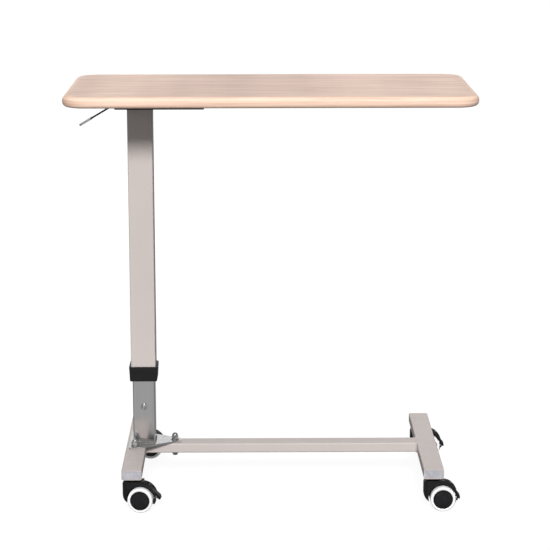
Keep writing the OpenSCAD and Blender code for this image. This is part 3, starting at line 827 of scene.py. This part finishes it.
def build_lever():
    """Bent flat bar and its thumb plate with rounded edges, and the domed pin they press."""
    bar = refined("lever_bar", "release_lever", 0.5 * MM)
    finish_piece(bar, MATERIAL["dark_bracket"], "lever", "dark_bracket", "release_lever")
    pad = refined("thumb_plate", "lever_paddle", 1.1 * MM, 4)
    finish_piece(pad, MATERIAL["grey_grip"], "lever", "grey_grip", "lever_paddle")
    lo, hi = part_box("release_pin")
    middle = (lo + hi) / 2
    radius, length, crown = (hi.x - lo.x) / 2, hi.z - lo.z, 1.3 * MM
    bm = bmesh.new()
    profile = [(radius - 0.4 * MM, 0), (radius, 0.4 * MM)] + dome(radius, length - crown, crown)
    lathe_solid(bm, profile, Matrix.Translation((middle.x, middle.y, lo.z)), 48)
    pin = add_object("valve_pin_turned", bm, 40.0)
    finish_piece(pin, MATERIAL["zinc_steel"], "valve_pin", "zinc_steel", "release_pin")


# ---------------------------------------------------------------- castors

def joint(name):
    """The frame's entry for a joint."""
    return next(j for j in frame["joints"] if j["name"] == name)


def fender(bm, place, side):
    """Closed shell over the wheels beside the pedal, from the hood's arch down to the axle.

    place has its X axis pointing away from the stem, its Z axis along the axle.
    """
    clear, thick, taper = 27.5 * MM, 4.6 * MM, 1.6 * MM
    near, far = PEDAL_SPACE, FENDER_FACE
    start, end = -9, 66
    soft = 0.6 * MM
    count = 24
    loops = []
    for s in range(count + 1):
        share = s / count
        turn = math.radians(start + (end - start) * share)
        out = Vector((math.cos(turn), math.sin(turn), 0))
        top = clear + thick - taper * (1 - share)
        section = [(clear, near + soft), (clear + soft, near), (top - soft, near),
                   (top, near + soft), (top - 0.3 * MM, far - 2 * soft),
                   (top - 1.2 * MM, far - soft / 2), (clear + 2 * soft, far), (clear, far - soft)]
        loops.append([place @ (out * r + Vector((0, 0, side * z))) for r, z in section])
    loft(bm, loops, caps=True)


def build_castor(corner):
    """One twin-wheel castor: tyres, hub caps, hood with fenders, and brake pedal."""
    roll = joint(corner + "_roll")
    axle = Vector(roll["pos_m"])
    axis = Vector(roll["axis"])
    wheel_r = axle.z
    inner = WHEEL_FACE - WHEEL_WIDTH
    rim_r = wheel_r - TYRE_DEPTH

    bm = bmesh.new()
    for side in (1, -1):
        place = axis_place(axle, axis * side)
        lathe(bm, tyre_profile(wheel_r, rim_r, inner, WHEEL_FACE), place, 128)
    tyres = add_object(corner + "_tyre_pair", bm, 50.0)
    finish_piece(tyres, MATERIAL["tyre_white"], corner + "_wheel", "tyre_white",
                 corner + "_tyres")

    bm = bmesh.new()
    for side in (1, -1):
        lathe_solid(bm, cap_profile(WHEEL_FACE), axis_place(axle, axis * side), 96)
    caps = add_object(corner + "_caps", bm, 40.0)
    finish_piece(caps, MATERIAL["castor_black"], corner + "_wheel", "castor_black",
                 corner + "_hub_caps")

    fore = axis_place(axle, -axis, axis.cross(Vector((0, 0, 1))))

    def fenders(bm):
        for side in (1, -1):
            fender(bm, fore, side)

    hood = moulded(corner + "_cover", corner + "_hood", fenders)
    finish_piece(hood, MATERIAL["castor_black"], corner + "_castor", "castor_black",
                 corner + "_hood")
    pedal = moulded(corner + "_brake_pedal", corner + "_pedal", None, 0.4 * MM, 4)
    finish_piece(pedal, MATERIAL["castor_black"], corner + "_brake", "castor_black",
                 corner + "_pedal")


def tyre_profile(outer, bore, inner, face):
    """Closed section of one tyre: crowned tread, round shoulders and a groove near the face."""
    shoulder, steps = 2.6 * MM, 7
    profile = [(bore, inner + 0.4 * MM), (bore + 0.4 * MM, inner)]
    turns = [math.radians(90 * s / steps) for s in range(steps + 1)]
    profile += [(outer - shoulder * (1 - math.sin(a)), inner + shoulder * (1 - math.cos(a)))
                for a in turns]
    groove = face - 4.6 * MM
    profile += [(outer, groove - 0.5 * MM), (outer - 0.45 * MM, groove - 0.2 * MM),
                (outer - 0.45 * MM, groove + 0.2 * MM), (outer, groove + 0.5 * MM)]
    profile += [(outer - shoulder * (1 - math.cos(a)), face - shoulder * (1 - math.sin(a)))
                for a in turns]
    profile += [(bore + 0.4 * MM, face), (bore, face - 0.4 * MM)]
    return profile


def cap_profile(face):
    """Hub cap: a shallow dome with a groove inside its rim."""
    radius, bulge = CAP_RADIUS, CAP_BULGE
    sphere = (radius ** 2 + bulge ** 2) / (2 * bulge)

    def crown(r):
        return face + bulge - sphere + math.sqrt(sphere ** 2 - r ** 2)

    groove, depth = 17.3 * MM, 0.6 * MM
    outside = [(radius, face - 2 * MM), (radius, face - 0.1 * MM),
               (radius - 0.25 * MM, face + 0.08 * MM), (groove + 0.7 * MM, crown(groove + 0.7 * MM)),
               (groove + 0.45 * MM, crown(groove) - depth), (groove - 0.45 * MM, crown(groove) - depth),
               (groove - 0.75 * MM, crown(groove - 0.75 * MM))]
    steps = 12
    rest = [(groove - 0.75 * MM) * (1 - s / steps) for s in range(1, steps)]
    return outside + [(r, crown(r)) for r in rest] + [(AXIS_GAP, crown(0))]


# ---------------------------------------------------------------- carried-over nodes

def paint_carried_nodes():
    """Materials for the CAD nodes that stay as they are."""
    slots = {part["node"]: part["material_slot"] for part in frame["record"]["subparts"]}
    for name, node in frame["nodes"].items():
        if node.hide_render:
            continue
        node.data.materials.clear()
        node.data.materials.append(MATERIAL[slots[name]])


# ---------------------------------------------------------------- stage

def build_floor():
    """Wide pale floor that fills the picture behind the table."""
    reach = 60.0
    bm = bmesh.new()
    bmesh.ops.create_grid(bm, x_segments=24, y_segments=24, size=reach)
    floor = add_object("floor", bm)
    floor.data.materials.append(MATERIAL["floor"])
    floor.visible_diffuse = False
    floor.visible_glossy = False


def add_light(name, kind, energy, direction, size=1.0, distance=3.0, angle=0.2, target=(0, 0, 0.4)):
    """Sun or softbox that shines on the target from a direction."""
    data = bpy.data.lights.new(name, kind)
    data.energy = energy
    towards = Vector(direction).normalized()
    lamp = bpy.data.objects.new(name, data)
    bpy.context.scene.collection.objects.link(lamp)
    lamp.location = Vector(target) + towards * distance
    lamp.rotation_mode = "QUATERNION"
    lamp.rotation_quaternion = towards.to_track_quat("Z", "Y")
    if kind == "SUN":
        data.angle = angle
    else:
        data.shape = "RECTANGLE"
        data.size, data.size_y = size
    lamp.visible_camera = False
    return lamp


def build_lights():
    """Soft key from the front, weak overhead and back fills, and an even grey surround."""
    elevation = math.radians(32)
    key = (0.0, -math.cos(elevation), math.sin(elevation))
    sun = add_light("key", "SUN", 3.35, key, angle=math.radians(13))
    sun.visible_glossy = False
    panel = add_light("front_panel", "AREA", 32.0, key, (3.0, 0.22), 4.0)
    panel.visible_diffuse = False
    glow = add_light("back_panel", "AREA", 22.0, (0, 1, 0.21), (6.0, 2.4), 5.0)
    glow.visible_diffuse = False
    add_light("overhead", "SUN", 0.32, (0, 0.15, 1), angle=math.radians(60))
    add_light("floor_bounce", "AREA", 10.0, (0, -1, -0.27), (6.0, 3.0), 4.0)
    back = add_light("back_fill", "AREA", 75.0, (0, 1, 0.25), (5.0, 1.8), 4.0)
    back.visible_glossy = False
    world = bpy.data.worlds.new("surround")
    world.use_nodes = True
    background = world.node_tree.nodes["Background"]
    background.inputs["Color"].default_value = (0.22, 0.22, 0.222, 1)
    background.inputs["Strength"].default_value = 1.0
    bpy.context.scene.world = world


def build_camera():
    """Camera in front of the table, a little above it and looking down."""
    yaw, pitch, roll = (math.radians(a) for a in (-0.52, 12.17, -0.06))
    turn = Matrix.Rotation(yaw, 3, "Z")
    forward = turn @ Vector((0, math.cos(pitch), -math.sin(pitch)))
    right = turn @ Vector((1, 0, 0))
    up = right.cross(forward)
    level_right = math.cos(roll) * right + math.sin(roll) * up
    level_up = -math.sin(roll) * right + math.cos(roll) * up
    data = bpy.data.cameras.new("camera")
    data.sensor_width = 36
    data.lens = 130.5
    data.clip_end = 200
    camera = bpy.data.objects.new("camera", data)
    bpy.context.scene.collection.objects.link(camera)
    turn = Matrix((level_right, level_up, -forward)).transposed().to_4x4()
    camera.matrix_world = Matrix.Translation((-0.0269, -3.96289, 1.29214)) @ turn
    bpy.context.scene.camera = camera


def set_view():
    """Plain colour handling, without a film look."""
    settings = bpy.context.scene.view_settings
    settings.view_transform = "Standard"
    settings.look = "None"


build_camera()
build_tabletop()
build_column()
build_rails()
build_fasteners()
build_lever()
for corner_name in CORNERS:
    build_castor(corner_name)
paint_carried_nodes()
build_floor()
build_lights()
set_view()

bpy.context.view_layer.update()
